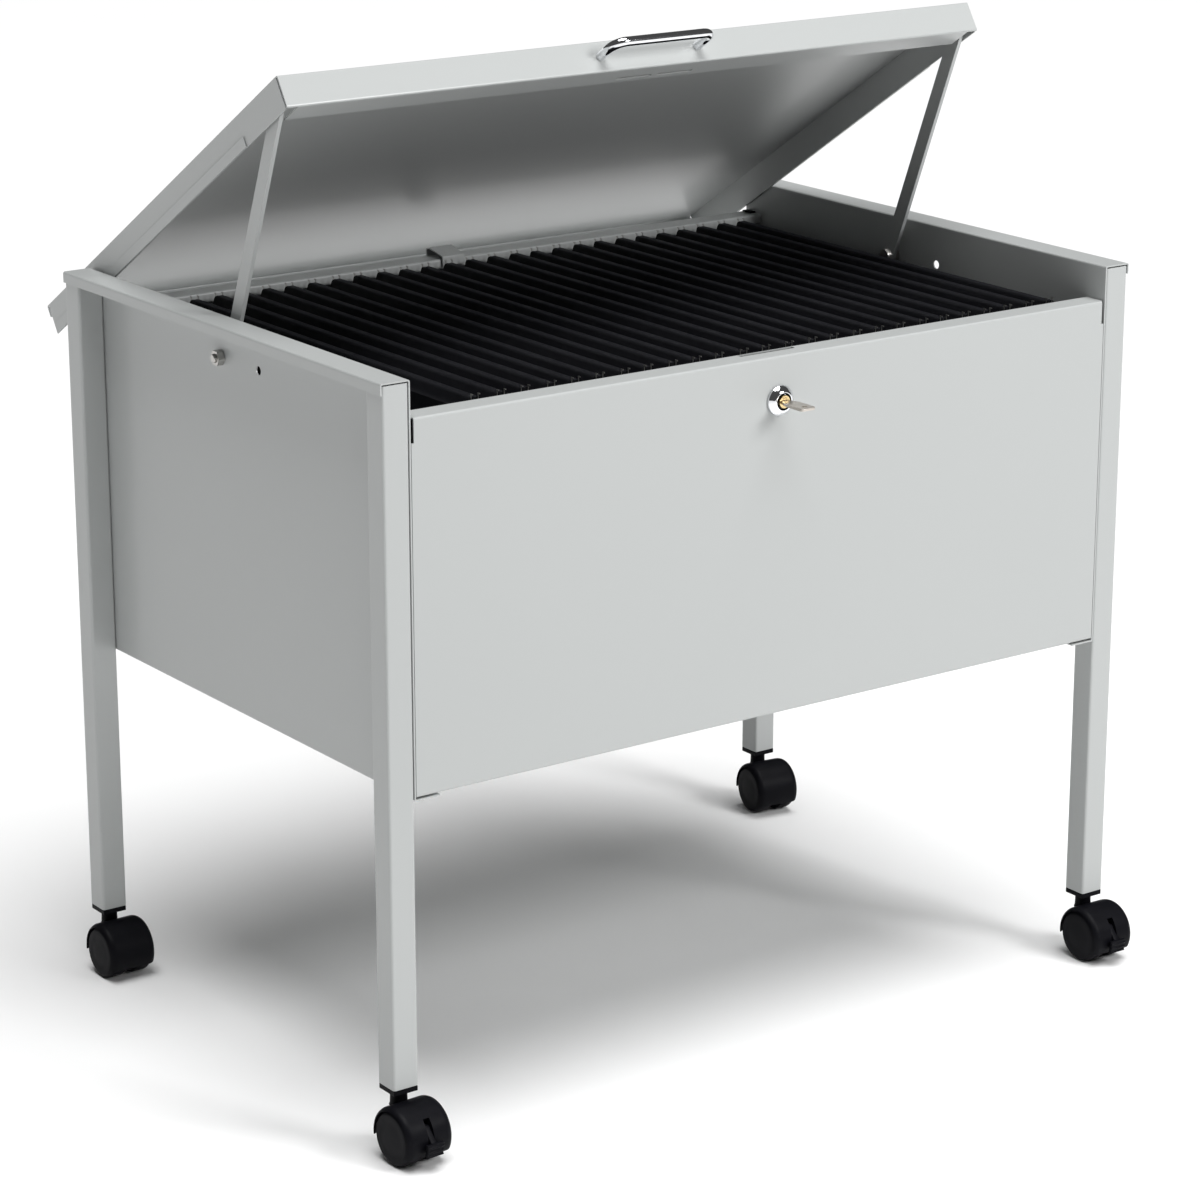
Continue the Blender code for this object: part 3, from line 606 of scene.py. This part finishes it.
def lid_matrix():
    """From the lid's frame, about its stud axis, to the row frame with the lid open."""
    stud = middle("lid_stud_left")
    return Matrix.Translation((middle("lid").x, stud.y, stud.z)) @ Matrix.Rotation(-LID_OPEN_ANGLE, 4, "X")


def build_handle():
    """A bent chromed rod, ending just short of the lid's front wall halfway up it."""
    half = HANDLE_HALF
    front = -HANDLE_REACH + HANDLE_ROD
    turn = HANDLE_CORNER
    path = [(-half, -HANDLE_GAP)]
    path += arc((-half + turn, front + turn), turn, 180, 270, 16)
    path += arc((half - turn, front + turn), turn, 270, 360, 16)
    path.append((half, -HANDLE_GAP))
    place = lid_matrix() @ Matrix.Translation((0, -STUD_SETBACK, STUD_DROP - LID_HEIGHT / 2))
    piece("handle_rod", tube(path, HANDLE_ROD), place, "lid_body", "chrome", ("lid_handle",))


def build_lock():
    """The lock's turned ring and barrel, and its key."""
    plug = middle("lock_plug")
    face_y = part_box("front_panel")[0].y
    back = face_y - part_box("lock_housing")[1].y
    place = Matrix.Translation((plug.x, face_y, plug.z)) @ Matrix.Rotation(-math.pi / 2, 4, "Z")
    profile = [(LOCK_BORE, 5.3 * MM), (6.7 * MM, 5.3 * MM), (7.4 * MM, 5.1 * MM), (8.3 * MM, 4.4 * MM)]
    profile += [(9.5 * MM, 3.2 * MM), (10.7 * MM, 2.1 * MM), (11 * MM, 1.5 * MM), (11 * MM, 0.3 * MM)]
    profile += [(LOCK_BARREL, 0.3 * MM), (LOCK_BARREL, back), (LOCK_BORE, back)]
    piece("lock_ring", turned(profile), place, "case", "chrome", ("lock_housing",))
    build_key()


def build_key():
    """A flat key, drawn as (y, x) from its blade's tip inside the plug to the squared end of its bow."""
    low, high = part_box("key")
    centre_x = (low.x + high.x) / 2
    centre_z = (low.z + high.z) / 2
    half = (high.z - low.z) / 2
    tip = high.y - 1 * MM
    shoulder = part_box("lock_plug")[0].y - 0.6 * MM
    end = low.y + 0.2 * MM
    side = [(tip, 1 * MM), (tip - 2 * MM, KEY_BLADE), (shoulder, KEY_BLADE)]
    side += [(shoulder, KEY_SHOULDER), (shoulder - 4 * MM, KEY_NECK), (shoulder - 9 * MM, KEY_BOW)]
    corner_x = KEY_BOW - KEY_CORNER
    outline = side + arc((end + KEY_CORNER, corner_x), KEY_CORNER, 90, 180, 8)
    outline += arc((end + KEY_CORNER, -corner_x), KEY_CORNER, 180, 270, 8)
    outline += [(y, -x) for y, x in side[:0:-1]]
    flat = prism(outline, -half, half)
    place = Matrix.Translation((centre_x, 0, centre_z)) @ Matrix.Rotation(math.pi / 2, 4, "Y")
    look = {"bevel": 0.3 * MM, "finish": "nickel"}
    key = piece("key_blade", flat, place, "key_body", "zinc_steel", ("key",), **look)
    eye = cutter("key_eye", KEY_EYE_RADIUS, (centre_x, end + KEY_EYE_SETBACK, centre_z))
    hole = key.modifiers.new("eye", "BOOLEAN")
    hole.operation = "DIFFERENCE"
    hole.solver = "EXACT"
    hole.object = eye
    bpy.context.view_layer.update()
    evaluated = key.evaluated_get(bpy.context.evaluated_depsgraph_get())
    key.data = bpy.data.meshes.new_from_object(evaluated)
    key.modifiers.clear()
    bpy.data.objects.remove(eye)


def cutter(name, radius, place):
    """A short upright cylinder, used once to cut a hole."""
    mesh = bpy.data.meshes.new(name)
    bm = bmesh.new()
    bmesh.ops.create_cone(bm, cap_ends=True, segments=40, radius1=radius, radius2=radius, depth=8 * MM)
    bm.to_mesh(mesh)
    bm.free()
    obj = bpy.data.objects.new(name, mesh)
    bpy.context.scene.collection.objects.link(obj)
    obj.location = place
    return obj


# ---------------------------------------------------------------- stage, light and camera


def build_stage():
    half = FLOOR_HALF
    corners = [(-half, -half, 0), (half, -half, 0), (half, half, 0), (-half, half, 0)]
    mesh = bpy.data.meshes.new("floor")
    mesh.from_pydata(corners, [], [(0, 1, 2, 3)])
    mesh.materials.append(floor_finish())
    floor = bpy.data.objects.new("floor", mesh)
    bpy.context.scene.collection.objects.link(floor)


def area_light(name, place, target, size, power):
    light = bpy.data.lights.new(name, "AREA")
    light.energy = power
    light.size = size
    obj = bpy.data.objects.new(name, light)
    bpy.context.scene.collection.objects.link(obj)
    obj.location = place
    obj.rotation_euler = (Vector(target) - Vector(place)).to_track_quat("-Z", "Y").to_euler()


def build_light():
    world = bpy.data.worlds.new("studio")
    world.use_nodes = True
    background = world.node_tree.nodes["Background"]
    background.inputs["Color"].default_value = (1, 1, 1, 1)
    background.inputs["Strength"].default_value = WORLD_STRENGTH
    bpy.context.scene.world = world
    area_light("key", KEY_LIGHT_PLACE, KEY_LIGHT_TARGET, KEY_LIGHT_SIZE, KEY_LIGHT_POWER)
    overhead = bpy.data.lights.new("overhead", "SUN")
    overhead.energy = OVERHEAD_STRENGTH
    overhead.angle = math.radians(OVERHEAD_ANGLE)
    holder = bpy.data.objects.new("overhead", overhead)
    bpy.context.scene.collection.objects.link(holder)
    holder.rotation_euler = (math.radians(OVERHEAD_TILT), 0, 0)
    # plain display colours, so that the pale floor shows as white
    bpy.context.scene.view_settings.view_transform = "Standard"


def build_camera(centre):
    """A long lens, looking down a little from the front left."""
    azimuth = math.radians(CAMERA_AZIMUTH)
    elevation = math.radians(CAMERA_ELEVATION)
    back = Vector(
        (
            math.sin(azimuth) * math.cos(elevation),
            -math.cos(azimuth) * math.cos(elevation),
            math.sin(elevation),
        )
    )
    camera = bpy.data.cameras.new("camera")
    camera.sensor_width = 36
    camera.lens = CAMERA_LENS
    obj = bpy.data.objects.new("camera", camera)
    bpy.context.scene.collection.objects.link(obj)
    obj.location = (centre.x + CAMERA_OFFSET[0], centre.y + CAMERA_OFFSET[1], CAMERA_HEIGHT)
    obj.rotation_euler = (-back).to_track_quat("-Z", "Y").to_euler()
    bpy.context.scene.camera = obj


# ---------------------------------------------------------------- assembly

finish_cad_nodes()
for corner_name in CORNERS:
    build_caster(corner_name)
build_files()
build_handle()
build_lock()
build_stage()
build_light()
build_camera((middle("leg_front_left") + middle("leg_back_right")) / 2)
